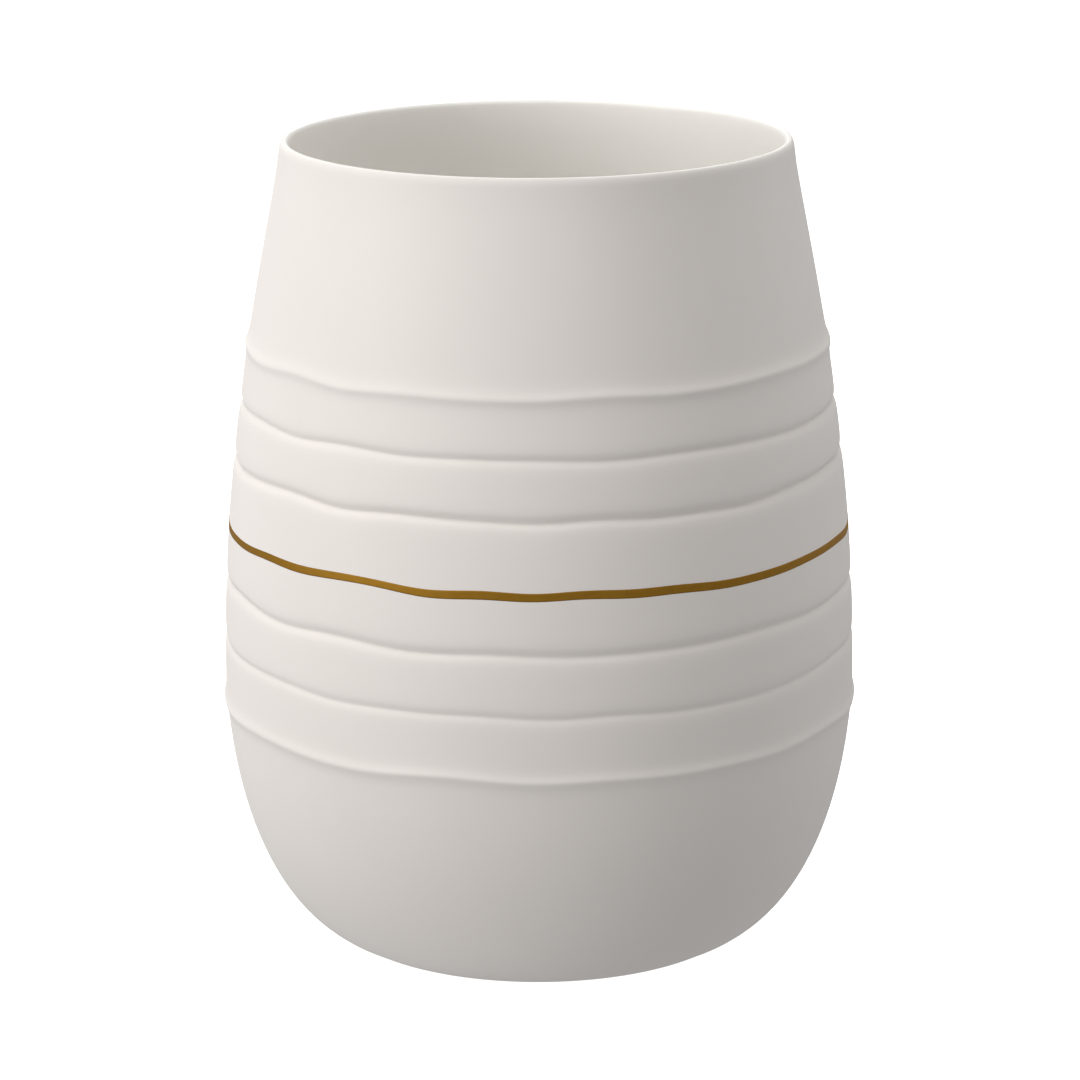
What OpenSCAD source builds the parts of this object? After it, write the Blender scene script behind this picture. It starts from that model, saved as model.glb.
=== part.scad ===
// Barrel-shaped porcelain vase with six relief lines and one painted gold line.
// Millimetres, +Z up. The origin is the middle of the foot, on the surface it stands on.
// Angles around the vase start at the front (-Y) and turn towards +X.

/* [Vase shape] */
// Height from the foot to the top of the lip
vase_height = 230; // [220:1:245]
// Widest diameter, at the belly
belly_dia = 180; // [170:1:200]
// Height of the belly above the foot
belly_height = 78.5; // [74:0.5:84]
// Outside diameter at the mouth
mouth_dia = 143.5; // [130:0.5:160]
// Outside diameter of the ring that the vase stands on
foot_dia = 106; // [96:1:112]

/* [Wall and foot] */
// Porcelain thickness of the side wall
wall = 2.3; // [2:0.1:3.5]
// Porcelain thickness of the floor
floor_thickness = 3.5; // [3:0.5:5]
// Width of the ring that the vase stands on
foot_ring_width = 5; // [4:0.5:7]
// Depth of the hollow inside the foot ring
foot_recess = 2.5; // [1.5:0.5:3.5]

/* [Glaze] */
// Thickness of the clear glaze that lines the inside and half of the lip
glaze_thickness = 0.3; // [0.2:0.1:0.6]

/* [Relief lines] */
// Height of the raised beads above the wall
bead_height = 0.85; // [0.35:0.05:1]
// Depth of the deepest groove
groove_depth = 1.3; // [0.5:0.1:1.5]
// Half width of a bead near its root
bead_reach = 1.9; // [1.4:0.1:2.2]
// Half width of a groove near its edge
groove_reach = 1.25; // [1:0.05:1.6]
// How strongly the lines waver, where 1 is drawn by hand and 0 is dead straight
waver = 1; // [0:0.1:1.2]

/* [Gold line] */
// Brush width of the gold line
gold_width = 2.2; // [1.5:0.1:3.5]
// Thickness of the fired gold
gold_thickness = 0.15; // [0.1:0.05:0.3]

/* [Hidden] */

// Facets: columns around the vase, and steps along each half of the side curve
columns = 72;
curve_steps = 12;
table_steps = 60;
round_fn = 144;

belly_r = belly_dia / 2;
mouth_r = mouth_dia / 2;
foot_r = foot_dia / 2;

// The lip is round: its radius takes in the porcelain wall and the glaze. Its outer half is
// drawn out to a soft oval, which starts lip_drop below the top
lip_r = (wall + glaze_thickness) / 2;
lip_drop = 2.8;
lip_z = vase_height - lip_r;
lip_centre_r = mouth_r - lip_r;
floor_z = foot_recess + floor_thickness;

// How far each end of a side curve runs on before it starts to bend
mouth_run = 11.5;
upper_belly_run = 75;
lower_belly_run = 36;
foot_run = 25;
// Angle at which the bowl leaves the foot
foot_angle = 9;

// ---- Side curve ----

function bezier(p, t) =
    pow(1 - t, 3) * p[0]
    + 3 * pow(1 - t, 2) * t * p[1]
    + 3 * (1 - t) * pow(t, 2) * p[2]
    + pow(t, 3) * p[3];

// Both halves of the side curve as [radius, height], moved inwards by inset
function lower_curve(inset, base_z) = [
    [foot_r - inset, base_z],
    [foot_r - inset + foot_run * cos(foot_angle), base_z + foot_run * sin(foot_angle)],
    [belly_r - inset, belly_height - lower_belly_run],
    [belly_r - inset, belly_height]
];

function upper_curve(inset) = [
    [belly_r - inset, belly_height],
    [belly_r - inset, belly_height + upper_belly_run],
    [mouth_r - inset, lip_z - mouth_run],
    [mouth_r - inset, lip_z]
];

function side_curve(inset, base_z, steps) = [
    for (i = [0 : steps]) bezier(lower_curve(inset, base_z), i / steps),
    for (i = [1 : steps]) bezier(upper_curve(inset), i / steps)
];

// Outside radius of the plain wall at a height
wall_table = [for (p = side_curve(0, 0, table_steps)) [p[1], p[0]]];
function wall_radius(z) = lookup(z, wall_table);

// ---- Drawn lines ----

// From the lowest line to the highest: [height, relief, share of the common wave, own sways].
// A positive relief is a bead, a negative one is a groove, and the gold line has none.
// Neighbouring lines swing in opposite ways. A sway is [size, waves around the vase, phase].
lines = [
    [70.2, bead_height, 1, [[0.2, 6, -70], [0.15, 9, -135], [0.1, 11, -45], [0.15, 14, 165]]],
    [88.2, -0.5 * groove_depth, 1, [
        [0.7, 2, 175], [0.3, 4, -25], [0.15, 10, -60], [0.15, 14, -135], [0.1, 18, -145]
    ]],
    [105.2, -0.85 * groove_depth, -1, [[0.4, 2, 175], [0.15, 5, -55], [0.15, 13, -160]]],
    [121.2, 0, 0, [
        [0.6, 2, -90], [0.35, 7, 90], [0.25, 13, -20], [0.25, 14, -170], [0.15, 18, 145], [0.1, 22, 160]
    ]],
    [141, -groove_depth, 1.3, [[0.8, 1, 100], [0.5, 2, -125], [0.1, 11, -20], [0.15, 18, -165]]],
    [156.7, -0.75 * groove_depth, -0.8, [
        [0.2, 3, -55], [0.1, 8, -120], [0.1, 16, 135], [0.1, 17, 10]
    ]],
    [173.1, bead_height, 0.8, [
        [0.15, 3, 120], [0.1, 8, 60], [0.1, 12, 110], [0.1, 14, -65], [0.1, 17, -155]
    ]]
];
gold_index = 3;
gold_z = lines[gold_index][0];

// The wave that the relief lines have in common
common_wave = [[0.25, 4, -80], [0.2, 5, 60], [0.3, 10, 175], [0.15, 12, 75]];

function sum(list, i = 0) = i < len(list) ? list[i] + sum(list, i + 1) : 0;

function swing(sways, angle) = sum([for (s = sways) s[0] * cos(s[1] * angle - s[2])]);

function line_offset(line, angle) =
    waver * (line[2] * swing(common_wave, angle) + swing(line[3], angle));

// The wall between two lines stretches with them. It is level below level_below and at the lip
level_below = 30;
function stretched(z, angle) =
    z + lookup(z, [
        [level_below, 0],
        for (line = lines) [line[0], line_offset(line, angle)],
        [lip_z, 0]
    ]);

// A bead or a groove falls away on both sides with a long tail
relief_power = 1.2;
function reach(line) = line[1] > 0 ? bead_reach : groove_reach;
function relief_shape(line, z) = line[1] * pow(1 + pow((z - line[0]) / reach(line), 2), -relief_power);
function relief(z) = sum([for (line = lines) relief_shape(line, z)]);

// ---- Rows of the outside skin ----

// Rows across one relief line in shares of its reach, and one row half way between two lines
relief_tail = 1.8;
relief_rows = [-relief_tail, -0.7, 0, 0.7, relief_tail];
gold_rows = [-gold_width / 2, gold_width / 2];
function rows_across(i) = i == gold_index ? gold_rows : reach(lines[i]) * relief_rows;

// The lower curve is divided evenly up to the lowest line, and the neck every neck_step
bowl_steps = 12;
bowl_gap = 2;
neck_step = 9;
highest_row = lines[len(lines) - 1][0] + bead_reach * relief_tail;
lowest_row = lines[0][0] - bead_reach * relief_tail;

line_rows = [
    for (i = [0 : len(lines) - 1])
        each [
            for (d = rows_across(i)) lines[i][0] + d,
            if (i < len(lines) - 1) (lines[i][0] + lines[i + 1][0]) / 2
        ]
];

bowl_rows = [
    for (i = [1 : bowl_steps])
        let (z = bezier(lower_curve(0, 0), i / bowl_steps)[1])
            if (z < lowest_row - bowl_gap) z
];

neck_rows = [for (z = [highest_row + neck_step : neck_step : lip_z - neck_step / 2]) z];

function skin_point(z, angle, lift = 0) =
    let (
        at = stretched(z, angle),
        r = wall_radius(at) + relief(z) + lift
    )
    [r * sin(angle), -r * cos(angle), at];

function ring(r, z) = [
    for (i = [0 : columns - 1])
        let (a = i * 360 / columns)
            [r * sin(a), -r * cos(a), z]
];

function skin_ring(z, lift = 0) = [
    for (i = [0 : columns - 1]) skin_point(z, i * 360 / columns, lift)
];

// The skin starts below the foot, where a plane then cuts it flat
below = 1;
lip_angles = [0 : 20 : 80];
function lip_ring(a) =
    let (z = vase_height - lip_drop * (1 - sin(a)))
        ring(wall_radius(z) - lip_r * (1 - cos(a)), z);

skin_rings = [
    ring(foot_r - below / tan(foot_angle), -below),
    for (z = bowl_rows) skin_ring(z),
    for (z = line_rows) skin_ring(z),
    for (z = neck_rows) skin_ring(z),
    for (a = lip_angles) lip_ring(a)
];

// Triangles between ring i and the ring above it, seen from outside
function band_faces(i) = [
    for (j = [0 : columns - 1])
        let (
            k = (j + 1) % columns,
            a = i * columns + j,
            b = i * columns + k,
            c = b + columns,
            d = a + columns
        )
        each [[a, c, b], [a, d, c]]
];

module closed_skin(rings) {
    last = len(rings) - 1;
    foot_centre = (last + 1) * columns;
    top_centre = foot_centre + 1;
    points = [
        for (r = rings) each r,
        [0, 0, rings[0][0][2]],
        [0, 0, vase_height]
    ];
    faces = [
        for (i = [0 : last - 1]) each band_faces(i),
        for (j = [0 : columns - 1]) [foot_centre, j, (j + 1) % columns],
        for (j = [0 : columns - 1]) [top_centre, last * columns + (j + 1) % columns, last * columns + j]
    ];
    polyhedron(points = points, faces = faces, convexity = 4);
}

// ---- Inside ----

// Half section of the inside, from the floor to the top of the lip
function inside_outline(inset, base_z) = [
    for (p = side_curve(inset, base_z, curve_steps)) p,
    for (a = [30 : 30 : 90])
        let (r = mouth_r - inset - lip_centre_r)
            [lip_centre_r + r * cos(a), lip_z - r * sin(a)]
];

cavity_outline = inside_outline(wall, floor_z);
glaze_outline = inside_outline(wall + glaze_thickness, floor_z + glaze_thickness);

module cavity() {
    rise = 3;
    rotate_extrude($fn = round_fn)
        polygon([
            [0, floor_z],
            each cavity_outline,
            [lip_centre_r, vase_height + rise],
            [0, vase_height + rise]
        ]);
}

module foot_hollow() {
    // The hollow narrows upwards, so the inner side of the foot ring slopes
    bevel = 1;
    hollow_r = foot_r - foot_ring_width;
    rotate_extrude($fn = round_fn)
        polygon([
            [0, -below],
            [hollow_r, -below],
            [hollow_r, 0],
            [hollow_r - bevel, foot_recess],
            [0, foot_recess]
        ]);
}

// ---- Sub-parts ----

// One slip-cast piece of unglazed porcelain, with the relief lines on its outside
module porcelain_body() {
    color("whitesmoke")
        difference() {
            closed_skin(skin_rings);
            translate([-belly_dia, -belly_dia, -2 * below])
                cube([2 * belly_dia, 2 * belly_dia, 2 * below]);
            cavity();
            foot_hollow();
        }
}

// The glaze lies on the inside wall, floor and inner half of the lip
module interior_glaze() {
    color("gainsboro")
        rotate_extrude($fn = round_fn)
            polygon([
                [0, floor_z],
                each cavity_outline,
                [lip_centre_r, vase_height],
                each [for (i = [len(glaze_outline) - 1 : -1 : 0]) glaze_outline[i]],
                [0, floor_z + glaze_thickness]
            ]);
}

// A closed band of fired gold that lies on the wall face to face
module gold_line() {
    low = gold_z - gold_width / 2;
    high = gold_z + gold_width / 2;
    rings = [
        skin_ring(low),
        skin_ring(high),
        skin_ring(high, gold_thickness),
        skin_ring(low, gold_thickness)
    ];
    count = len(rings) * columns;
    faces = [
        for (i = [0 : len(rings) - 1])
            for (f = band_faces(i)) [f[2] % count, f[1] % count, f[0] % count]
    ];
    color("darkgoldenrod")
        polyhedron(points = [for (r = rings) each r], faces = faces, convexity = 4);
}

porcelain_body();
interior_glaze();
gold_line();
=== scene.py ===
"""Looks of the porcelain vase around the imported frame: fine meshes, materials, light and the camera.

Shapes are worked out in millimetres, as in the CAD part, and turned into metres when a mesh is made.
Angles around the vase start at the front (-Y) and turn towards +X.
"""

import math

import bpy
import numpy as np
from mathutils import Euler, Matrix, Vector


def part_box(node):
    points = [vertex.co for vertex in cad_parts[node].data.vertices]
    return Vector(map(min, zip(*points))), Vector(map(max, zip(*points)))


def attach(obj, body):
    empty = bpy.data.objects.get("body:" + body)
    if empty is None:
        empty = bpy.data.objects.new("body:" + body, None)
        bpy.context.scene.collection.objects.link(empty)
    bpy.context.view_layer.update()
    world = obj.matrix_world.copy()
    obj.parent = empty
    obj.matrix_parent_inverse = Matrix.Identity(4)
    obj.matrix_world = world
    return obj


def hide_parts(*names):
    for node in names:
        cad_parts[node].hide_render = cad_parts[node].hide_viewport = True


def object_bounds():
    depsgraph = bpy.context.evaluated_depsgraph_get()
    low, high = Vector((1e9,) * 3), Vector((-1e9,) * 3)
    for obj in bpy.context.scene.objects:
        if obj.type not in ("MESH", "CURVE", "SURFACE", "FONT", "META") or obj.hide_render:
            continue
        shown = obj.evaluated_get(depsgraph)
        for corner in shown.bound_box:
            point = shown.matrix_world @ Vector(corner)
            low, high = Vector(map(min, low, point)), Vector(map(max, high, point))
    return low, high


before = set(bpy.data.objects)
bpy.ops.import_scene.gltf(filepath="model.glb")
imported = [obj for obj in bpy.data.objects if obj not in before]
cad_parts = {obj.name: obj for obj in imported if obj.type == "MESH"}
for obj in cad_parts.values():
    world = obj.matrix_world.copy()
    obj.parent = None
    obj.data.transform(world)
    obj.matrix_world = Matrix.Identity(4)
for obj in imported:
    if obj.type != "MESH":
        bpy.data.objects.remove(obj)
cad_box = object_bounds()

MM = 0.001

# ---- Sizes of the vase in millimetres, the same as in the CAD part ----

VASE_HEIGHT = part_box("porcelain_body")[1].z / MM
BELLY_R = 90
BELLY_HEIGHT = 78.5
MOUTH_R = 71.75
FOOT_R = 53
WALL = 2.3
FLOOR_THICKNESS = 3.5
FOOT_RING_WIDTH = 5
FOOT_RECESS = 2.5
GLAZE = 0.3
BEAD_HEIGHT = 0.845  # a hair lower than in the CAD part, so that the fine mesh stays inside its box
GROOVE_DEPTH = 1.3
BEAD_REACH = 1.9
GROOVE_REACH = 1.25
RELIEF_POWER = 1.2
GOLD_WIDTH = 2.2
GOLD_THICKNESS = 0.05
GOLD_SINK = 0.05
GOLD_EDGE_POWER = 8

# How far the side keeps its direction at the mouth, above and below the belly, and at the foot
MOUTH_RUN = 11.5
UPPER_BELLY_RUN = 75
LOWER_BELLY_RUN = 36
FOOT_RUN = 25
FOOT_ANGLE = math.radians(9)

LIP_DROP = 2.8
LIP_R = (WALL + GLAZE) / 2
LIP_Z = VASE_HEIGHT - LIP_R
LIP_CENTRE_R = MOUTH_R - LIP_R
PORCELAIN_LIP_R = MOUTH_R - WALL - LIP_CENTRE_R
GLAZE_LIP_R = PORCELAIN_LIP_R - GLAZE
FLOOR_Z = FOOT_RECESS + FLOOR_THICKNESS
HOLLOW_R = FOOT_R - FOOT_RING_WIDTH

# The underside from the middle outwards as (radius, height): the hollow, its round edge, the flat ring
FOOT_OUTLINE = [
    (12, FOOT_RECESS), (30, FOOT_RECESS), (HOLLOW_R - 2.4, FOOT_RECESS),
    (HOLLOW_R - 1.7, FOOT_RECESS - 0.1), (HOLLOW_R - 1.2, FOOT_RECESS - 0.45),
    (HOLLOW_R - 0.8, FOOT_RECESS - 1.0), (HOLLOW_R - 0.15, 0.45), (HOLLOW_R + 0.1, 0.12),
    (HOLLOW_R + 0.5, 0), (FOOT_R - 0.9, 0), (FOOT_R - 0.2, 0.03),
]

# The lines from the lowest to the highest: height, relief, share of the common wave, own sways.
# A sway is (size, waves around the vase, phase in degrees)
LINES = [
    (70.2, BEAD_HEIGHT, 1, [(0.2, 6, -70), (0.15, 9, -135), (0.1, 11, -45), (0.15, 14, 165)]),
    (88.2, -0.5 * GROOVE_DEPTH, 1, [
        (0.7, 2, 175), (0.3, 4, -25), (0.15, 10, -60), (0.15, 14, -135), (0.1, 18, -145),
    ]),
    (105.2, -0.85 * GROOVE_DEPTH, -1, [(0.4, 2, 175), (0.15, 5, -55), (0.15, 13, -160)]),
    (121.2, 0, 0, [
        (0.6, 2, -90), (0.35, 7, 90), (0.25, 13, -20), (0.25, 14, -170), (0.15, 18, 145), (0.1, 22, 160),
    ]),
    (141, -GROOVE_DEPTH, 1.3, [(0.8, 1, 100), (0.5, 2, -125), (0.1, 11, -20), (0.15, 18, -165)]),
    (156.7, -0.75 * GROOVE_DEPTH, -0.8, [
        (0.2, 3, -55), (0.1, 8, -120), (0.1, 16, 135), (0.1, 17, 10),
    ]),
    (173.1, BEAD_HEIGHT, 0.8, [
        (0.15, 3, 120), (0.1, 8, 60), (0.1, 12, 110), (0.1, 14, -65), (0.1, 17, -155),
    ]),
]
GOLD_INDEX = 3
COMMON_WAVE = [(0.25, 4, -80), (0.2, 5, 60), (0.3, 10, 175), (0.15, 12, 75)]
# Waver of the gold stroke's width, as a share of it
STROKE_SWAYS = [(0.04, 1, 30), (0.06, 3, 60), (0.04, 12, -150), (0.03, 9, -75)]
# Under the lines the wall's sways fade out down to this height
LEVEL_BELOW = 30

# ---- Mesh density ----

COLUMNS = 360
ANGLES = np.arange(COLUMNS) * 2 * math.pi / COLUMNS
SIDE_STEPS = 400

# Distances of the mesh rows from the middle of a relief line, and of the gold line
RELIEF_STEPS = np.array([0.2, 0.4, 0.6, 0.8, 1.0, 1.25, 1.55, 1.9, 2.3, 2.8, 3.4, 4.2, 5.2, 6.4])
GOLD_STEPS = (-3.5, -1.2, 0, 1.2, 3.5)
# Rows between the lines: where they start and how far apart they are in the side table, their
# spacing in height above the belly, and the least room they keep to any other row
BOWL_START, BOWL_STRIDE = 8, 14
NECK_SPACING = 4
ROW_ROOM = 1.4


# ---- Side curve and drawn lines ----

def bezier(points, t):
    """Points at the shares t of a cubic curve with four control points."""
    p = np.array(points, float)
    t = np.asarray(t, float)[..., None]
    return (1 - t) ** 3 * p[0] + 3 * (1 - t) ** 2 * t * p[1] + 3 * (1 - t) * t**2 * p[2] + t**3 * p[3]


def side_curve(inset, base_z, steps):
    """Both halves of the side as (radius, height) points, moved inwards by inset."""
    foot, belly, mouth = FOOT_R - inset, BELLY_R - inset, MOUTH_R - inset
    lower = [
        (foot, base_z),
        (foot + FOOT_RUN * math.cos(FOOT_ANGLE), base_z + FOOT_RUN * math.sin(FOOT_ANGLE)),
        (belly, BELLY_HEIGHT - LOWER_BELLY_RUN),
        (belly, BELLY_HEIGHT),
    ]
    upper = [
        (belly, BELLY_HEIGHT),
        (belly, BELLY_HEIGHT + UPPER_BELLY_RUN),
        (mouth, LIP_Z - MOUTH_RUN),
        (mouth, LIP_Z),
    ]
    t = np.linspace(0, 1, steps + 1)
    return np.concatenate([bezier(lower, t), bezier(upper, t[1:])])


WALL_TABLE = side_curve(0, 0, SIDE_STEPS)


def wall_radius(z):
    """Radius of the plain outside, without its relief lines."""
    return np.interp(z, WALL_TABLE[:, 1], WALL_TABLE[:, 0])


def swing(sways, angles):
    """Sum of waves around the vase."""
    return sum(size * np.cos(waves * angles - math.radians(phase)) for size, waves, phase in sways)


def line_offset(line, angles):
    """How far a line wanders from its height."""
    height, rise, share, sways = line
    return share * swing(COMMON_WAVE, angles) + swing(sways, angles)


LINE_OFFSETS = np.array([line_offset(line, ANGLES) for line in LINES])


def stretched(z):
    """Height of a row at every column: the wall between two lines stretches with them."""
    z = np.broadcast_to(z, COLUMNS)
    heights = [LEVEL_BELOW] + [line[0] for line in LINES] + [LIP_Z]
    still = np.zeros((1, COLUMNS))
    offsets = np.concatenate([still, LINE_OFFSETS, still])
    return np.array([z[j] + np.interp(z[j], heights, offsets[:, j]) for j in range(COLUMNS)])


def relief_shape(line, z):
    """Height of one bead over the wall, or depth of one groove: round in the middle, with long tails."""
    height, rise, share, sways = line
    reach = BEAD_REACH if rise > 0 else GROOVE_REACH
    return rise * (1 + ((z - height) / reach) ** 2) ** -RELIEF_POWER


def relief(z):
    """All the lines' relief together at the still heights z."""
    return sum(relief_shape(line, z) for line in LINES)


def skin_ring(z, lift=0.0):
    """A ring of points on the outside that follows the lines; lift moves it off the wall."""
    at = stretched(z)
    r = wall_radius(at) + relief(z) + lift
    return np.stack([r * np.sin(ANGLES), -r * np.cos(ANGLES), at], 1)


def level_ring(r, z):
    """A level circle of points."""
    return np.stack([r * np.sin(ANGLES), -r * np.cos(ANGLES), np.full(COLUMNS, float(z))], 1)


# ---- Meshes ----

def ring_faces(first, second):
    """Four-sided faces between two rings, given by the numbers of their first points."""
    j = np.arange(COLUMNS)
    k = (j + 1) % COLUMNS
    return np.stack([first + j, first + k, second + k, second + j], 1).tolist()


def new_mesh(name, points, faces, material, smooth=True):
    """An object from points in millimetres, linked into the scene."""
    mesh = bpy.data.meshes.new(name)
    mesh.from_pydata((np.asarray(points) * MM).tolist(), [], faces)
    mesh.polygons.foreach_set("use_smooth", [smooth] * len(mesh.polygons))
    mesh.materials.append(material)
    mesh.update()
    piece = bpy.data.objects.new(name, mesh)
    bpy.context.scene.collection.objects.link(piece)
    return piece


def capped_loft(name, rings, first_pole, last_pole, material):
    """A closed skin over rings that go up the outside, with a point that closes each end."""
    points = np.concatenate([*rings, [first_pole, last_pole]])
    faces = []
    for i in range(len(rings) - 1):
        faces += ring_faces(i * COLUMNS, (i + 1) * COLUMNS)
    pole_a = len(rings) * COLUMNS
    last = (len(rings) - 1) * COLUMNS
    for j in range(COLUMNS):
        k = (j + 1) % COLUMNS
        faces.append([pole_a, k, j])
        faces.append([pole_a + 1, last + j, last + k])
    return new_mesh(name, points, faces, material)


def ring_loft(name, rings, material):
    """A closed skin over rings whose last one joins the first again."""
    faces = []
    for i in range(len(rings)):
        faces += ring_faces(i * COLUMNS, (i + 1) % len(rings) * COLUMNS)
    return new_mesh(name, np.concatenate(rings), faces, material)


def skin_rows():
    """Heights of the rows on the outside: close together across a line, wider between the lines."""
    across = np.concatenate([-RELIEF_STEPS, [0], RELIEF_STEPS])
    rows = {round(float(height + d), 3) for height, rise, share, sways in LINES if rise for d in across}
    rows |= {round(LINES[GOLD_INDEX][0] + d, 3) for d in GOLD_STEPS}
    bowl = WALL_TABLE[BOWL_START:SIDE_STEPS:BOWL_STRIDE, 1]
    neck = np.arange(BELLY_HEIGHT, VASE_HEIGHT - LIP_DROP - 1, NECK_SPACING)
    for z in np.concatenate([bowl, neck]):
        if min(abs(z - row) for row in rows) > ROW_ROOM:
            rows.add(round(float(z), 3))
    return sorted(rows)


def outer_lip_rings(steps):
    """The wall draws in over the last LIP_DROP, so the outer edge of the lip is a soft quarter oval."""
    rings = []
    for a in np.radians(np.linspace(0, 90, steps + 1)):
        z = VASE_HEIGHT - LIP_DROP * (1 - math.sin(a))
        rings.append(level_ring(wall_radius(z) - LIP_R * (1 - math.cos(a)), z))
    return rings


def inner_lip_rings(radius, steps):
    """From the top of the lip down to its inner edge, on a quarter circle that bends inwards."""
    rings = []
    for a in np.radians(np.linspace(90, 0, steps + 1)[:-1]):
        rings.append(level_ring(LIP_CENTRE_R + radius * math.cos(a), LIP_Z + abs(radius) * math.sin(a)))
    return rings


def inside_rings(inset, base_z, steps):
    """The inside wall from the lip down to the edge of the floor."""
    curve = side_curve(inset, base_z, steps)[::-1]
    return [level_ring(r, z) for r, z in curve]


def porcelain_body(material):
    """The cast shell: underside, outside with its lines, outer half of the lip, and inside."""
    rings = [
        *[level_ring(r, z) for r, z in FOOT_OUTLINE],
        *[skin_ring(z) for z in skin_rows()],
        *outer_lip_rings(9),
        *inner_lip_rings(PORCELAIN_LIP_R, 3),
        *inside_rings(WALL, FLOOR_Z, 12),
    ]
    piece = capped_loft("porcelain_wall", rings, (0, 0, FOOT_RECESS), (0, 0, FLOOR_Z), material)
    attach(piece, "root")
    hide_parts("porcelain_body")


def glaze_face(lip_radius, inset, floor_z, steps):
    """One face of the glaze: down from the top of the lip and across the floor to the middle."""
    return [
        *inner_lip_rings(lip_radius, 6),
        *inside_rings(inset, floor_z, steps),
        level_ring(20, floor_z),
        level_ring(1, floor_z),
    ]


def interior_glaze(material):
    """The glaze coat: its outer face lies on the porcelain, its inner face is seen."""
    outer = glaze_face(PORCELAIN_LIP_R, WALL, FLOOR_Z, 24)
    inner = glaze_face(GLAZE_LIP_R, WALL + GLAZE, FLOOR_Z + GLAZE, 48)
    piece = ring_loft("glaze_lining", outer[::-1] + inner, material)
    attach(piece, "root")
    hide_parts("interior_glaze")


def gold_line(material):
    """A low brush stroke of uneven width with rounded edges, sunk a little into the wall."""
    across = np.linspace(-1, 1, 9)
    middle = LINES[GOLD_INDEX][0]
    half = GOLD_WIDTH / 2 * (1 + swing(STROKE_SWAYS, ANGLES))
    top = [skin_ring(middle + half * v, GOLD_THICKNESS * (1 - abs(v) ** GOLD_EDGE_POWER)) for v in across]
    below = [skin_ring(middle + half * v, -GOLD_SINK) for v in across[::-1][1:-1]]
    piece = ring_loft("gold_stroke", top + below, material)
    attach(piece, "root")
    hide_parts("gold_line")


# ---- Materials ----

def new_material(name):
    material = bpy.data.materials.new(name)
    material.use_nodes = True
    nodes = material.node_tree.nodes
    return material, nodes, material.node_tree.links, nodes["Principled BSDF"]


def set_inputs(node, **values):
    """Sets sockets by name, with _ for a space."""
    for name, value in values.items():
        node.inputs[name.replace("_", " ")].default_value = value


def noise(nodes, links, scale, detail):
    """Noise that is fixed to the piece; scale is in waves per metre."""
    place = nodes.new("ShaderNodeTexCoord")
    texture = nodes.new("ShaderNodeTexNoise")
    set_inputs(texture, Scale=scale, Detail=detail)
    links.new(place.outputs["Object"], texture.inputs["Vector"])
    return texture.outputs["Fac"]


def two_tone(nodes, links, shader, cloud, first, second):
    """Base colour that wanders between two close colours."""
    tint = nodes.new("ShaderNodeMix")
    tint.data_type = "RGBA"
    set_inputs(tint, A=(*first, 1), B=(*second, 1))
    links.new(cloud, tint.inputs["Factor"])
    links.new(tint.outputs["Result"], shader.inputs["Base Color"])


def bisque_porcelain():
    """Unglazed white porcelain: soft clouds in the colour and a very fine grain."""
    material, nodes, links, shader = new_material("bisque_porcelain")
    cloud = noise(nodes, links, 35, 5)
    two_tone(nodes, links, shader, cloud, (0.865, 0.822, 0.785), (0.895, 0.850, 0.815))
    bump = nodes.new("ShaderNodeBump")
    set_inputs(bump, Strength=0.08, Distance=0.0002)
    links.new(noise(nodes, links, 1500, 3), bump.inputs["Height"])
    links.new(bump.outputs["Normal"], shader.inputs["Normal"])
    set_inputs(shader, Roughness=0.6, Specular_IOR_Level=0.35, Diffuse_Roughness=0.5)
    return material


def clear_glaze():
    """Smooth satin glaze, faintly warm, with slow clouds in the colour."""
    material, nodes, links, shader = new_material("clear_glaze")
    cloud = noise(nodes, links, 20, 2)
    two_tone(nodes, links, shader, cloud, (0.950, 0.926, 0.884), (0.970, 0.944, 0.904))
    set_inputs(shader, Roughness=0.3)
    return material


def fired_gold():
    """Brushed and fired gold, matte, with fine clouds where the paint lies thicker."""
    material, nodes, links, shader = new_material("fired_gold")
    cloud = noise(nodes, links, 400, 4)
    two_tone(nodes, links, shader, cloud, (0.298, 0.147, 0.012), (0.358, 0.188, 0.018))
    set_inputs(shader, Metallic=0.6, Roughness=0.6, Specular_IOR_Level=0.2)
    return material


# ---- Stage ----

# Metres
FLOOR_SIZE = 12.0
FLOOR_GAP = 0.0002
# Light that the white floor gives back to the vase, and what lifts it to white in the picture
FLOOR_BOUNCE = 0.39
FLOOR_LIFT = 0.85
WORLD_STRENGTH = 0.25

# Metres
BOX_DISTANCE = 1.5
BOX_SIZE = 0.8
# Soft boxes: name, azimuth from the camera's side towards +X and elevation in degrees, watts
SOFT_BOXES = [
    ("key_left", -60, 10, 9.3),
    ("high_left", -60, 65, 7.2),
    ("side_left", -90, 40, 3.2),
    ("high_front", 0, 65, 2.6),
    ("front_right", 30, 10, 1.2),
    ("high_right", 60, 65, 1.2),
    ("right_fill", 90, 10, 0.8),
    ("low_right_back", 120, 10, 1.6),
    ("right_back", 120, 40, 3.1),
    ("back", 180, 40, 10.5),
]


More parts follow.
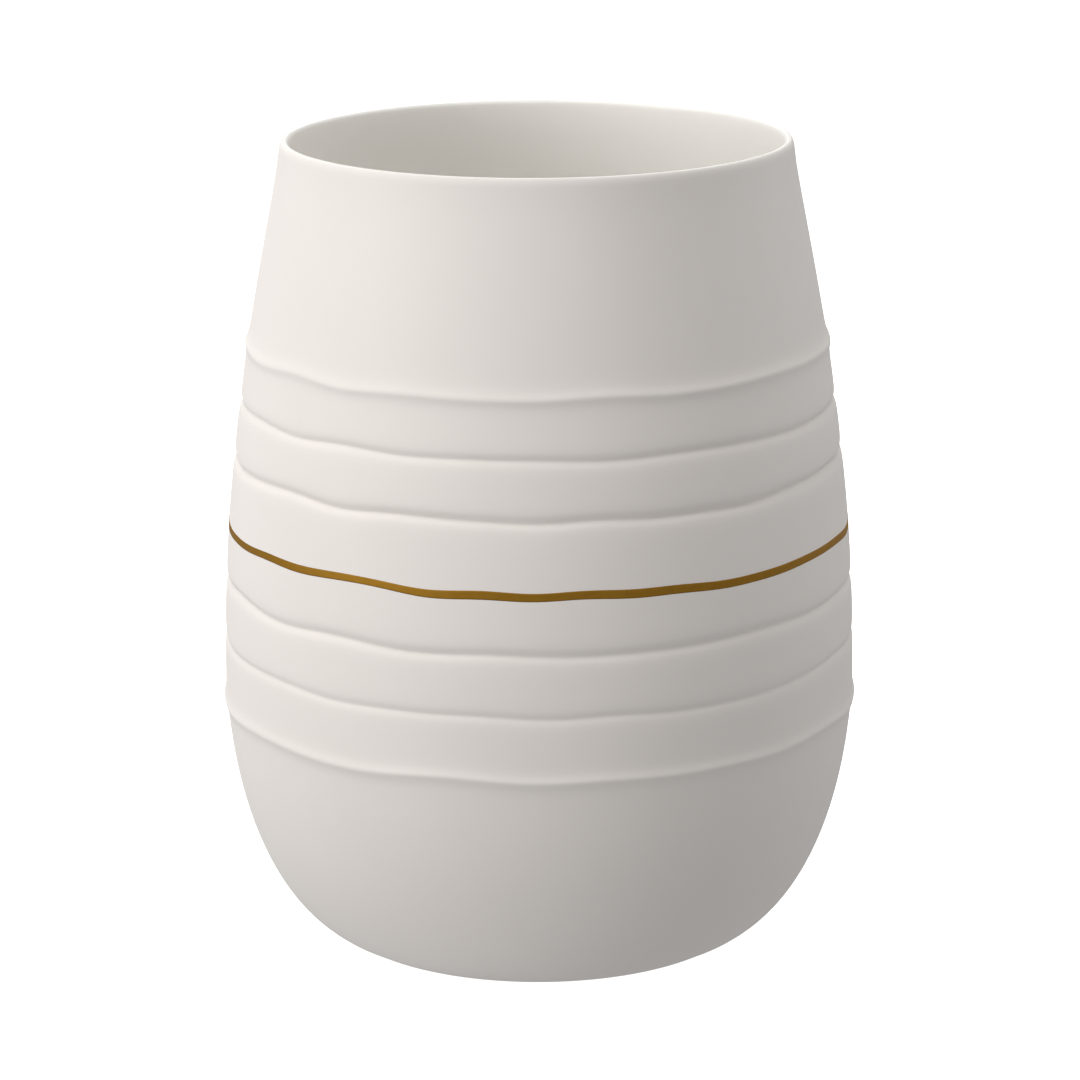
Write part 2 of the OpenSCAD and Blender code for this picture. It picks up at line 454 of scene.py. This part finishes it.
def stage_floor():
    """White floor: it lights the vase evenly from below and shows only a faint contact shadow."""
    material, nodes, links, shown = new_material("stage_white")
    set_inputs(shown, Base_Color=(0.9, 0.9, 0.9, 1), Roughness=1.0, Specular_IOR_Level=0.0)
    set_inputs(shown, Emission_Color=(1, 1, 1, 1), Emission_Strength=FLOOR_LIFT)
    bounce = nodes.new("ShaderNodeEmission")
    set_inputs(bounce, Strength=FLOOR_BOUNCE)
    rays = nodes.new("ShaderNodeLightPath")
    mix = nodes.new("ShaderNodeMixShader")
    links.new(rays.outputs["Is Camera Ray"], mix.inputs["Fac"])
    links.new(bounce.outputs["Emission"], mix.inputs[1])
    links.new(shown.outputs["BSDF"], mix.inputs[2])
    links.new(mix.outputs["Shader"], nodes["Material Output"].inputs["Surface"])
    side = FLOOR_SIZE / 2 / MM
    points = [(-side, -side, 0), (side, -side, 0), (side, side, 0), (-side, side, 0)]
    floor = new_mesh("stage_floor", points, [[0, 1, 2, 3]], material, smooth=False)
    floor.location.z = cad_box[0].z - FLOOR_GAP


def soft_box(name, azimuth, elevation, watts):
    """A square light that faces the middle of the vase."""
    data = bpy.data.lights.new(name, "AREA")
    data.size = BOX_SIZE
    data.energy = watts
    lamp = bpy.data.objects.new(name, data)
    a, e = math.radians(azimuth), math.radians(elevation)
    middle = (cad_box[0] + cad_box[1]) / 2
    away = Vector((math.sin(a) * math.cos(e), -math.cos(a) * math.cos(e), math.sin(e)))
    lamp.location = middle + away * BOX_DISTANCE
    lamp.rotation_euler = away.to_track_quat("Z", "Y").to_euler()
    lamp.visible_camera = False
    bpy.context.scene.collection.objects.link(lamp)


def studio_world():
    """Even white light from all around."""
    world = bpy.data.worlds.new("studio")
    bpy.context.scene.world = world
    world.use_nodes = True
    set_inputs(world.node_tree.nodes["Background"], Color=(1, 1, 1, 1), Strength=WORLD_STRENGTH)


# ---- Camera: places in metres, turns in degrees, lens and sensor in millimetres ----

CAMERA_DISTANCE = 1.1
CAMERA_HEIGHT = 0.4026
CAMERA_PITCH = 14.718
CAMERA_ROLL = -0.294
CAMERA_LENS = 132.6
CAMERA_SENSOR = 36
CAMERA_SHIFT_X = 0.0013
CAMERA_CLIP_END = 50


def add_camera():
    """The camera in front of the vase, a little above it and tilted down."""
    data = bpy.data.cameras.new("camera")
    data.lens = CAMERA_LENS
    data.sensor_width = CAMERA_SENSOR
    data.shift_x = CAMERA_SHIFT_X
    data.clip_end = CAMERA_CLIP_END
    camera = bpy.data.objects.new("camera", data)
    camera.location = (0, -CAMERA_DISTANCE, CAMERA_HEIGHT)
    look = Euler((math.radians(90 - CAMERA_PITCH), 0, 0)).to_matrix()
    roll = Euler((0, 0, math.radians(CAMERA_ROLL))).to_matrix()
    camera.rotation_euler = (look @ roll).to_euler()
    bpy.context.scene.collection.objects.link(camera)
    bpy.context.scene.camera = camera


# ---- The scene ----

add_camera()
porcelain_body(bisque_porcelain())
interior_glaze(clear_glaze())
gold_line(fired_gold())
stage_floor()
studio_world()
for box in SOFT_BOXES:
    soft_box(*box)

view = bpy.context.scene.view_settings
view.view_transform = "Standard"
view.look = "None"
